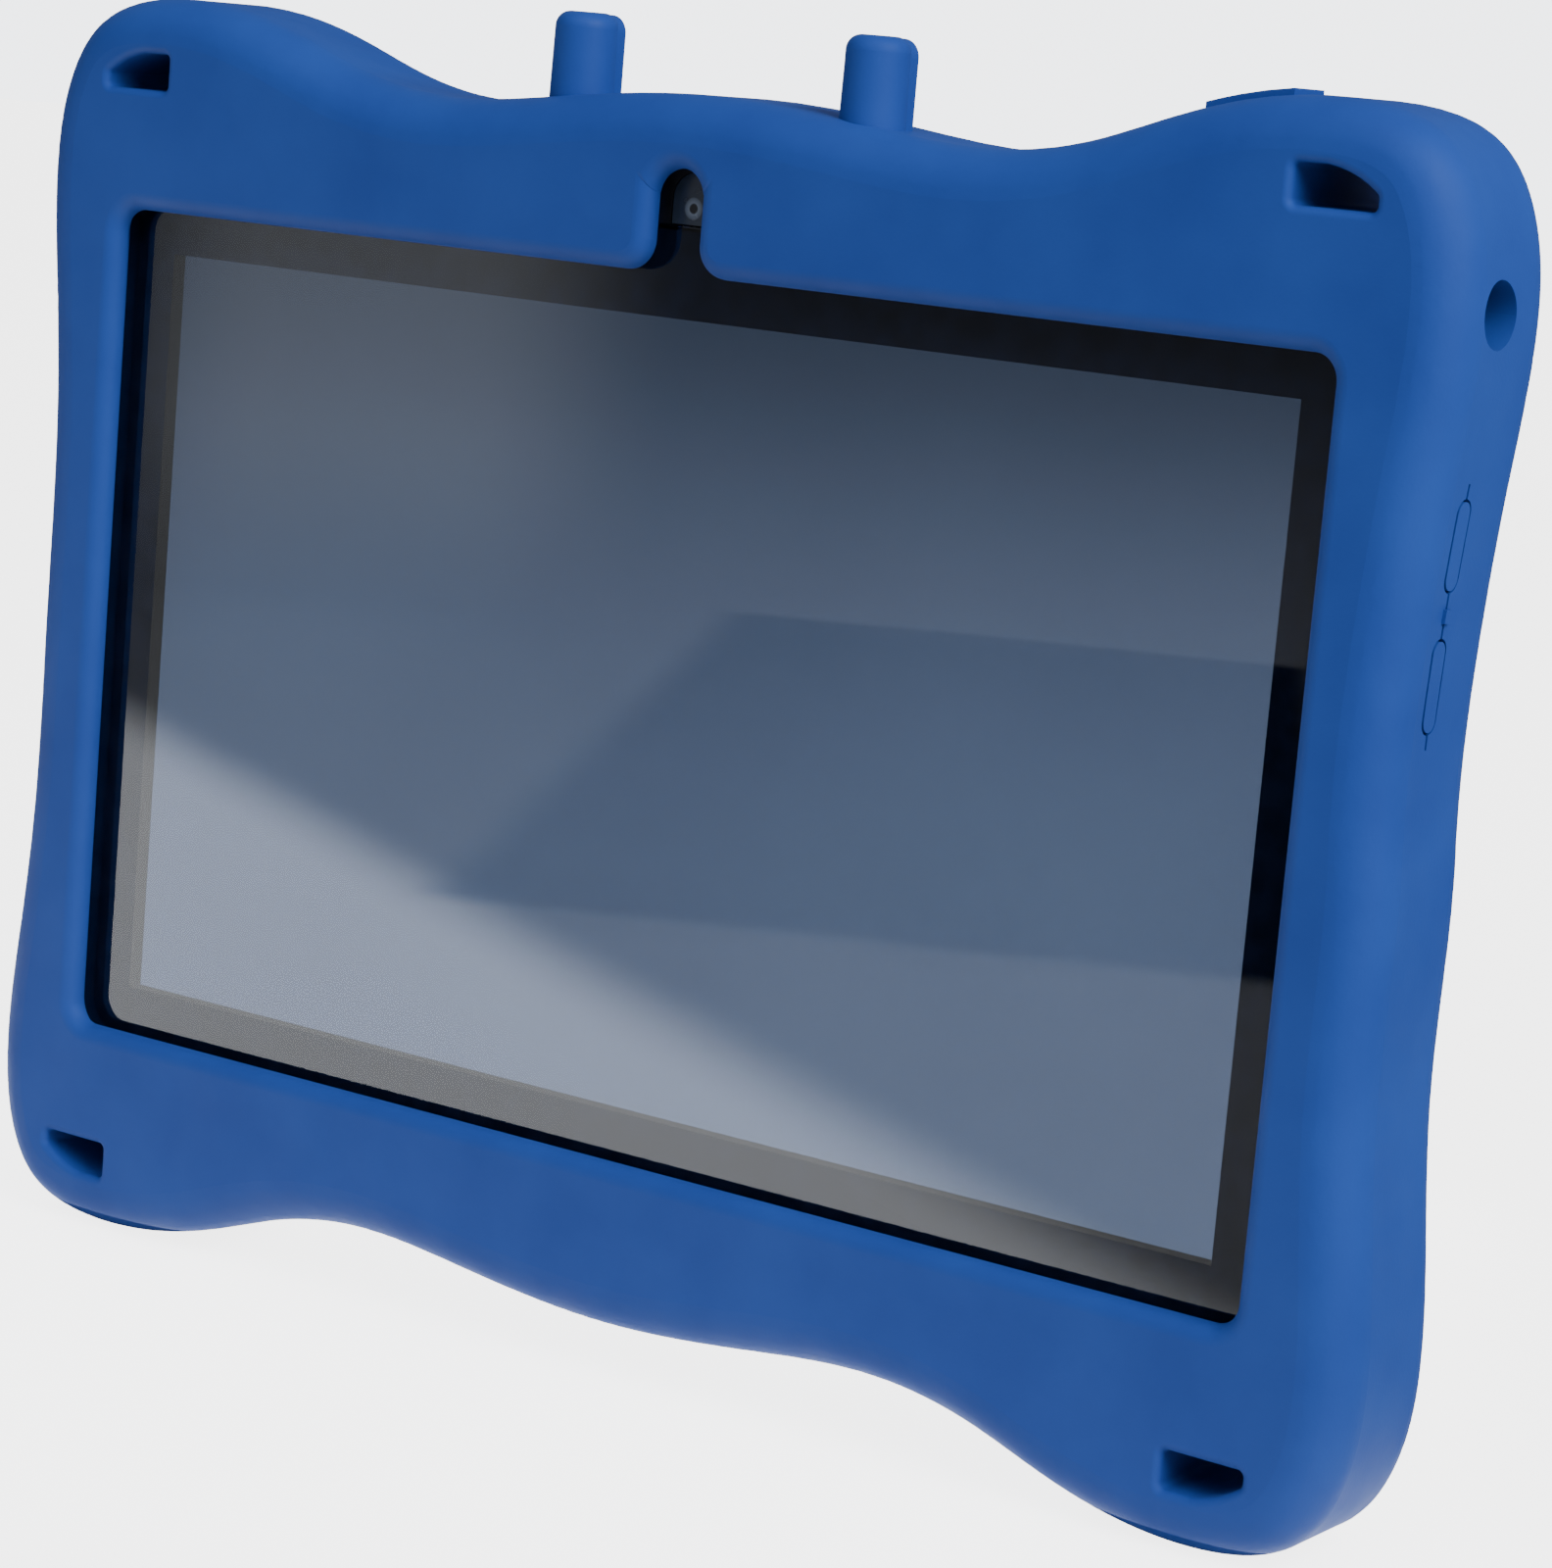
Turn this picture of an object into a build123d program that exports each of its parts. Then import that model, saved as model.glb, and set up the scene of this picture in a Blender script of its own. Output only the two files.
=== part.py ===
from build123d import *
import os

# A seven-inch children's tablet in a one-piece silicone bumper, in millimetres.
# X runs to the right across the screen, Y from the screen to the back, Z up.
# The origin is the middle of the box's bottom, under the bumper's two lower lobes.
# Places are given as seen from the front: x and y from the middle of the display,
# and a depth measured backwards from the outer face of the glass.

os.makedirs("parts", exist_ok=True)

# Display and the tablet around it
display_w = 153.6
display_h = 90.0
side_bezel = 14.2
end_bezel = 17.0
tablet_t = 9.0
tablet_corner = 6.0
tablet_w = display_w + 2 * side_bezel
tablet_h = display_h + 2 * end_bezel
tablet_x = tablet_w / 2
tablet_y = tablet_h / 2

# Bumper: walls round the tablet, then the shape of its outline
side_wall = 2.1
lip_t = 4.0
back_wall = 7.5
pocket_gap = 0.2
straight_y = 25.0
straight_bow = 0.2
lobe_bulge = 2.5
lobe_turn_in = 16.0
lobe_below_edge = 8.0
lobe_peak_inset = 13.0
lobe_rise = 13.2
shoulder_low_in = 1.2
shoulder_low_up = 10.0
shoulder_high_in = 5.6
shoulder_high_up = 17.7
valley_x = 38.0
valley_rise = 4.8
slope_low_out = 12.0
slope_low_up = 2.0
slope_high_out = 22.0
slope_high_up = 5.4
crown_rise = 7.6
front_round = 5.5
back_round = 4.0
lip_roll = 2.0
lip_gap = 1.8
lip_gap_reach = 1.5
mouth_round = 0.9
waist_x = tablet_x + side_wall
lobe_x = waist_x + lobe_bulge
lobe_side_y = tablet_y - lobe_below_edge
lobe_peak_x = tablet_x - lobe_peak_inset
lobe_peak_y = tablet_y + lobe_rise
valley_y = tablet_y + valley_rise
crown_y = tablet_y + crown_rise
bumper_t = lip_t + tablet_t + back_wall
bumper_back = tablet_t + back_wall
pocket_x = tablet_x + pocket_gap
pocket_y = tablet_y + pocket_gap

# Window in the lip, with the camera notch in its upper edge
window_margin_x = 5.4
window_margin_y = 5.0
window_corner = 2.8
notch_w = 6.5
notch_flare = 3.5
notch_below_edge = 0.5
window_w = display_w + 2 * window_margin_x
window_h = display_h + 2 * window_margin_y
notch_top = tablet_y - notch_below_edge

# Corner slots, pegs and the recess in the back
slot_wall = 2.0
slot_h = 4.3
slot_tip_h = 1.7
slot_flat = 3.7
slot_bulge_x = 6.9
slot_bulge_h = 3.4
slot_inset = 15.4
slot_length = 9.6
slot_corner = 0.7
slot_y = pocket_y + slot_wall
slot_x = tablet_x - slot_inset
peg_x = 19.8
peg_r = 3.7
peg_h = 7.9
peg_depth = 4.2
peg_round = 1.7
peg_rib_half = 3.3
peg_rib_back = 2.9
peg_rib_round = 2.0
peg_rib_drop = 0.1
peg_draft = 0.8
recess_margin = 13.0
recess_end_margin = 8.0
recess_depth = 3.0
recess_corner = 10.0
recess_round = 1.2

# Layers of the tablet, from the glass backwards
glass_t = 1.1
glass_gap = 0.1
glass_margin_x = 3.0
glass_margin_y = 6.8
glass_corner = 3.0
adhesive_t = 0.2
web_t = 0.8
frame_t = 2.4
frame_window_gap = 1.5
panel_t = 1.0
sheets_t = 0.3
guide_t = 0.6
tray_t = 0.3
tray_wall = 0.4
lcd_side = 5.7
lcd_end = 5.0
lcd_fit = 0.3
led_bar_h = 1.2
led_bar_inset = 4.0
adhesive_inset = 0.2
tab_x = (-60.0, -25.0, 27.0)
tab_l = 6.0
tab_t = 0.8
tab_reach = 2.2
tab_gap = 0.3
board_t = 1.0
board_stand = 0.9
shell_wall = 1.4
floor_t = 1.2
shell_round = 1.6
glass_w = tablet_w - 2 * glass_margin_x
glass_h = tablet_h - 2 * glass_margin_y
ledge_depth = glass_t + adhesive_t
panel_front = ledge_depth + web_t
sheets_front = panel_front + panel_t
guide_front = sheets_front + sheets_t
tray_front = guide_front + guide_t
lcd_back = tray_front + tray_t
lcd_w = display_w + 2 * lcd_side
lcd_h = display_h + 2 * lcd_end
layer_w = lcd_w - 2 * (tray_wall + glass_gap)
layer_h = lcd_h - 2 * (tray_wall + glass_gap)
floor_depth = tablet_t - floor_t
board_back = floor_depth - board_stand
board_front = board_back - board_t
inner_x = tablet_x - shell_wall
inner_y = tablet_y - shell_wall
frame_window_w = display_w + 2 * frame_window_gap
frame_window_h = display_h + 2 * frame_window_gap

# Keys on the right side and the silicone pads over them
power_drop = 29.8
volume_drop = 44.1
power_pad_l = 9.0
volume_pad_l = 9.3
pad_w = 2.5
pad_groove = 0.3
pad_proud = 0.05
key_w = 1.6
key_gap = 0.15
key_stand = 0.4
key_flange_t = 0.6
key_flange_lap = 0.5
power_flange_gap = 0.1
volume_flange_gap = 0.3
key_end_inset = 0.7
power_y = tablet_y - power_drop
volume_y = tablet_y - volume_drop
key_face_x = tablet_x + key_stand
switch_h = 2.8
switch_body = 2.8
switch_l = 4.4
switch_button_r = 0.75
switch_button_t = 0.5
plunger_r = 0.9
press_gap = 0.4
volume_switch_pitch = 2.9
key_depth = board_front - switch_h / 2
plunger_x = inner_x - 1.3
switch_x = plunger_x - press_gap - switch_button_t
tail_w = 0.4
tail_cut = 0.35
tail_reach = 1.8
nub_l = 1.4
nub_w = 1.2
nub_proud = 0.4

# Ports
jack_r = 1.8
jack_skin = 0.4
jack_length = 12.5
jack_nose_t = 1.7
jack_nose_wall = 0.5
jack_nose_gap = 0.1
jack_end_gap = 0.6
jack_w = 5.0
jack_drop = 6.7
jack_hole_r = 3.5
jack_back = 0.9
jack_half = jack_r + jack_skin
jack_nose_r = jack_r + jack_nose_wall
jack_depth = frame_t + jack_nose_r + jack_nose_gap
jack_y = tablet_y - jack_drop
jack_end_x = inner_x - jack_end_gap
jack_l = jack_length + jack_back
usb_inset = 24.0
usb_w = 7.5
usb_h = 2.6
usb_l = 5.6
usb_sheet = 0.3
usb_back = 0.6
usb_corner = 0.7
usb_tongue_w = 4.0
usb_tongue_t = 0.7
usb_tongue_shift = 0.3
usb_tongue_gap = 1.2
usb_fit = 0.3
usb_set_back = 0.4
usb_hole_w = 8.4
usb_hole_h = 4.6
usb_hole_corner = 1.6
collar_w = 10.0
collar_margin = 0.8
collar_proud = 0.7
usb_x = tablet_x - usb_inset
usb_depth = board_front - usb_h / 2
card_inset = 47.0
card_w = 14.0
card_l = 14.4
card_h = 1.4
card_sheet = 0.3
card_wall = 1.5
card_back = 1.0
card_set_back = 0.2
card_mouth_w = 12.0
card_mouth_h = 1.0
card_x = tablet_x - card_inset

# Main board and what stands on it
board_w = 78.6
board_h = 56.0
board_edge_gap = 1.0
board_top_gap = 0.6
board_notch_w = 13.4
board_notch_h = 8.2
boss_r = 2.2
screw_r = 0.8
screw_head_r = 1.5
screw_head_t = 0.6
screw_bite = 1.6
screw_inset = 3.0
screw_fit = 0.02
screw_tip_gap = 0.2
cross_w = 0.4
cross_l = 1.8
cross_depth = 0.3
chip_t = 0.9
connector_h = 0.9
connector_l = 4.0
connector_drop = 8.0
lcd_flex_w = 18.0
lcd_flex_inset = 14.5
lcd_flex_out = 0.8
lcd_flex_seat = 0.3
lcd_connector_w = 20.0
touch_flex_w = 6.0
touch_flex_inset = 9.5
touch_flex_out = 1.2
touch_flex_lap = 2.0
touch_connector_w = 7.0
flex_slot_gap = 1.0
flex_slot_h = 1.4
microphone_r = 2.0
microphone_t = 1.4
microphone_inset = 2.6
microphone_drop = 6.0
board_right = inner_x - board_edge_gap
board_left = board_right - board_w
board_top = inner_y - board_top_gap
board_bottom = board_top - board_h
board_x = (board_left + board_right) / 2
board_y = (board_bottom + board_top) / 2
board_notch_bottom = board_top - board_notch_h
connector_y = lcd_h / 2 - connector_drop
ribbon_mid = board_front - connector_h / 2
lcd_flex_x = board_left + lcd_flex_inset
touch_flex_x = usb_x - touch_flex_inset

# Battery, speaker, cameras and aerial
battery_w = 90.0
battery_h = 92.0
battery_t = 2.6
battery_round = 1.0
battery_corner = 2.0
battery_gap = 3.0
tape_t = 0.15
tape_margin = 10.0
battery_board_w = 3.0
battery_board_h = 30.0
battery_board_t = 1.0
battery_board_stand = 0.2
battery_board_drop = 3.0
battery_lead_pitch = 3.0
battery_lead_drop = 14.0
battery_lead_gap = 0.2
battery_x = -inner_x + battery_gap + battery_w / 2
battery_y = -2.0
battery_front = floor_depth - tape_t - battery_t
speaker_x_inset = 29.0
speaker_y_inset = 18.0
speaker_w = 20.0
speaker_h = 15.0
speaker_t = 2.6
speaker_rim = 1.5
speaker_fit = 0.1
speaker_face_t = 0.8
cone_t = 0.3
cone_corner = 2.0
cone_dome_r = 3.0
cone_dome_h = 0.5
speaker_mesh_t = 0.2
speaker_lead_pitch = 2.5
speaker_lead_inset = 4.0
speaker_lead_shift = 4.0
speaker_lead_rise = 16.0
speaker_lead_end = 14.0
speaker_x = tablet_x - speaker_x_inset
speaker_y = -tablet_y + speaker_y_inset
sound_slot_l = 10.0
sound_slot_w = 1.4
sound_slot_pitch = 3.4
sound_slots = 4
camera_drop = 4.8
camera_w = 5.6
camera_t = 3.0
camera_front_gap = 0.4
lens_r = 1.2
lens_t = 0.4
lens_round = 0.3
lens_seat = 0.5
barrel_r = 1.9
barrel_gap = 0.15
camera_window_w = 5.6
camera_window_t = 0.6
camera_y = tablet_y - camera_drop
rear_camera_x = -10.0
rear_camera_drop = 8.0
rear_camera_w = 8.0
rear_camera_t = 3.0
rear_barrel_r = 3.0
rear_lens_t = 0.5
rear_lens_r = 1.3
rear_lens_dip = 0.25
rear_camera_gap = 0.2
rear_window_r = 3.8
rear_window_t = 0.6
rear_window_seat = 0.7
rear_hole_r = 5.5
rear_camera_y = tablet_y - rear_camera_drop
aerial_w = 34.0
aerial_h = 8.0
aerial_t = 0.2
aerial_inset = 6.0
aerial_edge_gap = 0.6
aerial_lead_inset = 8.0
aerial_lead_run = 18.0
lead_r = 0.5
ribbon_t = 0.15
bend_r = 0.3
lead_bend = 20.0

glass_y = lip_t - bumper_t / 2
display_z = lobe_peak_y


def at_depth(depth):
    """Plane parallel to the screen, that far behind the glass face, facing the viewer."""
    return Plane(origin=(0, glass_y + depth, display_z), x_dir=(1, 0, 0), z_dir=(0, -1, 0))


def right_side(x):
    """Plane across the right side, facing right: its own x is depth and its y is height."""
    return Plane(origin=(x, glass_y, display_z), x_dir=(0, 1, 0), z_dir=(1, 0, 0))


def level(y):
    """Level plane at a height above the display's middle: its own x is x and its y is depth."""
    return Plane(origin=(0, glass_y, display_z + y), x_dir=(1, 0, 0), z_dir=(0, 0, 1))


def finish(builder, name):
    """Labels a finished piece and writes its STEP file."""
    builder.part.label = name
    export_step(builder.part, f"parts/{name}.step")


def block(centre, size, front, back):
    """Rectangular block between two depths."""
    with BuildPart() as piece:
        with BuildSketch(at_depth(back)):
            with Locations(centre):
                Rectangle(*size)
        extrude(amount=back - front)
    return piece.part


def ribbon(x, width, route):
    """Flat flexible cable: a route of (depth, y) points, drawn out to its width."""
    with BuildPart() as piece:
        with BuildSketch(right_side(x - width / 2)):
            with BuildLine():
                FilletPolyline(*route, radius=bend_r)
            trace(line_width=ribbon_t)
        extrude(amount=width)
    return piece.part


def lead(route, bend):
    """Round insulated wire that lies on the floor of the rear shell."""
    with BuildPart() as piece:
        with BuildLine(at_depth(floor_depth - lead_r)) as path:
            FilletPolyline(*route, radius=bend)
        with BuildSketch(Plane(path.line @ 0, z_dir=path.line % 0)):
            Circle(lead_r)
        sweep()
    return piece.part


# Outline of the bumper: the points of one quarter, mirrored to the other three
quarter = [
    (waist_x, 0),
    (waist_x + straight_bow, straight_y),
    (lobe_x - lobe_bulge / 2, lobe_side_y - lobe_turn_in),
    (lobe_x, lobe_side_y),
    (lobe_x - shoulder_low_in, lobe_side_y + shoulder_low_up),
    (lobe_x - shoulder_high_in, lobe_side_y + shoulder_high_up),
    (lobe_peak_x, lobe_peak_y),
    (valley_x + slope_high_out, valley_y + slope_high_up),
    (valley_x + slope_low_out, valley_y + slope_low_up),
    (valley_x, valley_y),
    (valley_x / 2, (valley_y + crown_y) / 2),
    (0, crown_y),
]
top_half = quarter + [(-x, y) for x, y in quarter[-2::-1]]
bottom_half = [(-x, -y) for x, y in top_half[1:-1]]
with BuildSketch() as outline:
    with BuildLine():
        Spline(*top_half, *bottom_half, periodic=True)
    make_face()


def raised_patch(shift, centre, size, front, back):
    """The outline moved a little outwards and cut to a box seen from the front."""
    with BuildPart() as patch:
        with BuildSketch(at_depth(back)):
            with Locations(centre):
                Rectangle(*size)
            add(Pos(*shift) * outline.sketch, mode=Mode.INTERSECT)
        extrude(amount=back - front)
    return patch.part


# Opening in the lip: the display's window with the camera notch let into its top edge
with BuildSketch() as window:
    RectangleRounded(window_w, window_h, window_corner)
    with Locations((0, notch_top - notch_w / 2)):
        Circle(notch_w / 2)
    with Locations((0, (window_h / 2 + notch_top - notch_w / 2) / 2)):
        Rectangle(notch_w, notch_top - notch_w / 2 - window_h / 2 + mouth_round)
    notch_corners = window.vertices().filter_by_position(Axis.X, -notch_w, notch_w)
    fillet(
        notch_corners.filter_by_position(Axis.Y, window_h / 2 - 0.01, window_h / 2 + 0.01),
        radius=notch_flare,
    )

# Corner slots: a straight edge beside the tablet, a blunt inner end and a narrower outer one
with BuildSketch() as corner_slots:
    with BuildLine():
        Line((slot_x, slot_y), (slot_x + slot_length, slot_y))
        Line((slot_x + slot_length, slot_y), (slot_x + slot_length, slot_y + slot_tip_h))
        ThreePointArc(
            (slot_x + slot_length, slot_y + slot_tip_h),
            (slot_x + slot_bulge_x, slot_y + slot_bulge_h),
            (slot_x + slot_flat, slot_y + slot_h),
        )
        Line((slot_x + slot_flat, slot_y + slot_h), (slot_x, slot_y + slot_h))
        Line((slot_x, slot_y + slot_h), (slot_x, slot_y))
    make_face()
    fillet(corner_slots.vertices(), radius=slot_corner)
    mirror(about=Plane.YZ)
    mirror(about=Plane.XZ)

with BuildSketch() as sound_slots_face:
    with Locations((speaker_x, speaker_y)):
        with GridLocations(0, sound_slot_pitch, 1, sound_slots):
            SlotOverall(sound_slot_l, sound_slot_w)

# Front antenna peg: a round post with a flat rib moulded down its back
with BuildPart() as peg:
    with BuildSketch(level(crown_y - peg_r)):
        with Locations((0, peg_depth)):
            Circle(peg_r)
    extrude(amount=peg_r + peg_h, taper=peg_draft)
    fillet(peg.faces().sort_by(Axis.Z)[-1].edges(), radius=peg_round)
    with BuildSketch(at_depth(peg_depth + peg_rib_back)) as rib:
        with Locations((0, crown_y + (peg_h - peg_r - peg_rib_drop) / 2)):
            Rectangle(2 * peg_rib_half, peg_h + peg_r - peg_rib_drop)
        fillet(rib.vertices().group_by(Axis.Y)[-1], radius=peg_rib_round)
    extrude(amount=peg_rib_back)

collar = raised_patch(
    (0, collar_proud),
    (usb_x, lobe_peak_y),
    (collar_w, lobe_rise),
    usb_depth - usb_hole_h / 2 - collar_margin,
    usb_depth + usb_hole_h / 2 + collar_margin,
)
nub_y = (power_y - power_pad_l / 2 + volume_y + volume_pad_l / 2) / 2
key_nub = raised_patch(
    (nub_proud, 0),
    (waist_x, nub_y),
    (side_wall, nub_l),
    key_depth - nub_w / 2,
    key_depth + nub_w / 2,
)
tail_top = power_y + power_pad_l / 2 + tail_reach
tail_bottom = volume_y - volume_pad_l / 2 - tail_reach
with BuildPart() as key_tails:
    with BuildSketch(at_depth(key_depth + tail_w / 2)):
        with Locations((lobe_x, (tail_top + tail_bottom) / 2)):
            Rectangle(4 * side_wall, tail_top - tail_bottom)
        add(Pos(-tail_cut, 0) * outline.sketch, mode=Mode.SUBTRACT)
    extrude(amount=tail_w)

with BuildPart() as silicone_bumper:
    with BuildSketch(at_depth(bumper_back)):
        add(outline.sketch)
    extrude(amount=bumper_t)
    fillet(silicone_bumper.faces().sort_by(Axis.Y)[0].edges(), radius=front_round)
    fillet(silicone_bumper.faces().sort_by(Axis.Y)[-1].edges(), radius=back_round)
    # recess in the back
    with BuildSketch(at_depth(bumper_back)):
        RectangleRounded(tablet_w - 2 * recess_margin, tablet_h - 2 * recess_end_margin, recess_corner)
    extrude(amount=recess_depth, mode=Mode.SUBTRACT)
    recess_floor = silicone_bumper.faces().filter_by(Plane.XZ).sort_by(Axis.Y)[-2]
    fillet(recess_floor.edges(), radius=recess_round)
    back_face = silicone_bumper.faces().sort_by(Axis.Y)[-1]
    fillet(back_face.inner_wires()[0].edges(), radius=recess_round)
    # window with its rolled lip, hollow underneath so that it stands clear of the glass
    with BuildSketch(at_depth(0)):
        add(window.sketch)
    extrude(amount=lip_t, mode=Mode.SUBTRACT)
    front_face = silicone_bumper.faces().sort_by(Axis.Y)[0]
    fillet(front_face.inner_wires()[0].edges(), radius=lip_roll)
    with BuildSketch(at_depth(0)):
        offset(window.sketch, amount=lip_gap_reach)
    extrude(amount=lip_gap, mode=Mode.SUBTRACT)
    # pocket for the tablet
    with BuildSketch(at_depth(tablet_t)):
        RectangleRounded(2 * pocket_x, 2 * pocket_y, tablet_corner + pocket_gap)
    extrude(amount=tablet_t, mode=Mode.SUBTRACT)
    # corner slots with soft mouths
    with BuildSketch(at_depth(bumper_back)):
        add(corner_slots.sketch)
    extrude(amount=bumper_t, mode=Mode.SUBTRACT)
    for mouth_face in (
        silicone_bumper.faces().sort_by(Axis.Y)[0],
        silicone_bumper.faces().sort_by(Axis.Y)[-1],
    ):
        mouths = [w for w in mouth_face.inner_wires() if w.length < 4 * slot_length]
        fillet([edge for wire in mouths for edge in wire.edges()], radius=mouth_round)
    # pegs and collar
    for side in (-1, 1):
        add(Pos(side * peg_x, 0, 0) * peg.part)
    add(collar)
    # ways in to the sockets
    with BuildSketch(level(tablet_y)):
        with Locations((usb_x, usb_depth)):
            RectangleRounded(usb_hole_w, usb_hole_h, usb_hole_corner)
    extrude(amount=2 * lobe_rise, mode=Mode.SUBTRACT)
    with BuildSketch(right_side(tablet_x)):
        with Locations((jack_depth, jack_y)):
            Circle(jack_hole_r)
        with Locations((key_depth, power_y)):
            SlotOverall(power_pad_l + 2 * pad_groove, pad_w + 2 * pad_groove, rotation=90)
        with Locations((key_depth, volume_y)):
            SlotOverall(volume_pad_l + 2 * pad_groove, pad_w + 2 * pad_groove, rotation=90)
    extrude(amount=2 * (side_wall + lobe_bulge), mode=Mode.SUBTRACT)
    add(key_tails.part, mode=Mode.SUBTRACT)
    add(key_nub)
    # rear camera and speaker
    with BuildSketch(at_depth(bumper_back)):
        with Locations((rear_camera_x, rear_camera_y)):
            Circle(rear_hole_r)
        add(sound_slots_face.sketch)
    extrude(amount=back_wall, mode=Mode.SUBTRACT)
finish(silicone_bumper, "silicone_bumper")


def key_pad(y, length):
    """Silicone pad over a key, flush with the side wall and a little proud of it."""
    with BuildPart() as pad:
        with BuildSketch(right_side(key_face_x)):
            with Locations((key_depth, y)):
                SlotOverall(length, pad_w, rotation=90)
        extrude(amount=3 * side_wall)
        with BuildSketch(at_depth(tablet_t)):
            add(Pos(pad_proud, 0) * outline.sketch)
        extrude(amount=tablet_t, mode=Mode.INTERSECT)
    return pad


finish(key_pad(power_y, power_pad_l), "power_pad")
finish(key_pad(volume_y, volume_pad_l), "volume_pad")


def side_key(y, length, flange_gap, plungers):
    """Plastic key: a cap through the wall, a flange behind it and a plunger for each switch."""
    flange_x = inner_x - flange_gap - key_flange_t
    with BuildPart() as key:
        with BuildSketch(right_side(flange_x)):
            with Locations((key_depth, y)):
                RectangleRounded(key_w + 2 * key_flange_lap, length + 2 * key_flange_lap, 0.4)
        extrude(amount=key_flange_t)
        with BuildSketch(right_side(flange_x)):
            with Locations((key_depth, y)):
                SlotOverall(length, key_w, rotation=90)
        extrude(amount=key_face_x - flange_x)
        with BuildSketch(right_side(plunger_x)):
            with Locations(*[(key_depth, y + offset_y) for offset_y in plungers]):
                Circle(plunger_r)
        extrude(amount=flange_x - plunger_x)
    return key


power_key_l = power_pad_l - 2 * key_end_inset
volume_key_l = volume_pad_l - 2 * key_end_inset
finish(side_key(power_y, power_key_l, power_flange_gap, [0]), "power_key")
volume_plungers = [-volume_switch_pitch, volume_switch_pitch]
finish(side_key(volume_y, volume_key_l, volume_flange_gap, volume_plungers), "volume_rocker")

# Screw places on the main board, clear of the jack's notch
screw_places = [
    (board_left + screw_inset, board_bottom + screw_inset),
    (board_right - screw_inset, board_bottom + screw_inset),
    (board_left + screw_inset, board_notch_bottom - screw_inset),
    (board_right - screw_inset, board_notch_bottom - screw_inset),
]

with BuildPart() as rear_shell:
    with BuildSketch(at_depth(tablet_t)):
        RectangleRounded(tablet_w, tablet_h, tablet_corner)
    extrude(amount=tablet_t - frame_t)
    fillet(rear_shell.faces().sort_by(Axis.Y)[-1].edges(), radius=shell_round)
    with BuildSketch(at_depth(floor_depth)):
        RectangleRounded(2 * inner_x, 2 * inner_y, tablet_corner - shell_wall)
    extrude(amount=floor_depth - frame_t, mode=Mode.SUBTRACT)
    with BuildSketch(at_depth(floor_depth)):
        with Locations(*screw_places):
            Circle(boss_r)
    extrude(amount=floor_depth - board_back)
    with BuildSketch(at_depth(board_back + screw_bite)):
        with Locations(*screw_places):
            Circle(screw_r)
    extrude(amount=screw_bite, mode=Mode.SUBTRACT)
    # keys and jack through the right wall
    with BuildSketch(right_side(jack_end_x)):
        with Locations((key_depth, power_y)):
            SlotOverall(power_key_l + 2 * key_gap, key_w + 2 * key_gap, rotation=90)
        with Locations((key_depth, volume_y)):
            SlotOverall(volume_key_l + 2 * key_gap, key_w + 2 * key_gap, rotation=90)
        with Locations((jack_depth, jack_y)):
            Circle(jack_nose_r + key_gap)
    extrude(amount=2 * shell_wall, mode=Mode.SUBTRACT)
    # charging socket and card slot through the top wall
    with BuildSketch(level(inner_y)):
        with Locations((usb_x, usb_depth)):
            RectangleRounded(usb_w + usb_fit, usb_h + usb_fit, usb_corner)
        with Locations((card_x, board_front - card_h / 2)):
            Rectangle(card_mouth_w, card_mouth_h)
    extrude(amount=shell_wall, mode=Mode.SUBTRACT)
    # rear camera seat and sound slots
    with BuildSketch(at_depth(tablet_t)):
        with Locations((rear_camera_x, rear_camera_y)):
            Circle(rear_barrel_r + barrel_gap)
        add(sound_slots_face.sketch)
    extrude(amount=floor_t, mode=Mode.SUBTRACT)
    with BuildSketch(at_depth(tablet_t)):
        with Locations((rear_camera_x, rear_camera_y)):
            Circle(rear_window_r + barrel_gap)
    extrude(amount=rear_window_seat, mode=Mode.SUBTRACT)
finish(rear_shell, "rear_shell")

# Arch of the front camera's window, also the recess that it sits in
with BuildSketch() as camera_arch:
    arch_bottom = glass_h / 2 + 2 * glass_gap
    with Locations((0, notch_top - notch_w / 2)):
        Circle(camera_window_w / 2)
    with Locations((0, (arch_bottom + notch_top - notch_w / 2) / 2)):
        Rectangle(camera_window_w, notch_top - notch_w / 2 - arch_bottom)

# Snap tabs hang from the frame inside the shell's top and bottom walls
tab_y = inner_y - tab_gap - tab_t / 2
tab_places = [(x, side * tab_y) for x in tab_x for side in (-1, 1)]

with BuildPart() as front_frame:
    with BuildSketch(at_depth(frame_t)):
        RectangleRounded(tablet_w, tablet_h, tablet_corner)
    extrude(amount=frame_t)
    with BuildSketch(at_depth(ledge_depth)):
        RectangleRounded(glass_w + 2 * glass_gap, glass_h + 2 * glass_gap, glass_corner)
    extrude(amount=ledge_depth, mode=Mode.SUBTRACT)
    with BuildSketch(at_depth(frame_t)):
        Rectangle(lcd_w + lcd_fit, lcd_h + lcd_fit)
    extrude(amount=frame_t - panel_front, mode=Mode.SUBTRACT)
    with BuildSketch(at_depth(frame_t)):
        Rectangle(frame_window_w, frame_window_h)
        with Locations((0, camera_y)):
            Circle(barrel_r + barrel_gap)
        with Locations((touch_flex_x, lcd_h / 2 + touch_flex_out)):
            Rectangle(touch_flex_w + 2 * flex_slot_gap, flex_slot_h)
    extrude(amount=frame_t, mode=Mode.SUBTRACT)
    with BuildSketch(at_depth(camera_window_t + glass_gap)):
        offset(camera_arch.sketch, amount=glass_gap)
    extrude(amount=camera_window_t + glass_gap, mode=Mode.SUBTRACT)
    with BuildSketch(at_depth(frame_t + tab_reach)):
        with Locations(*tab_places):
            Rectangle(tab_l, tab_t)
    extrude(amount=tab_reach)
finish(front_frame, "front_frame")

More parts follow.
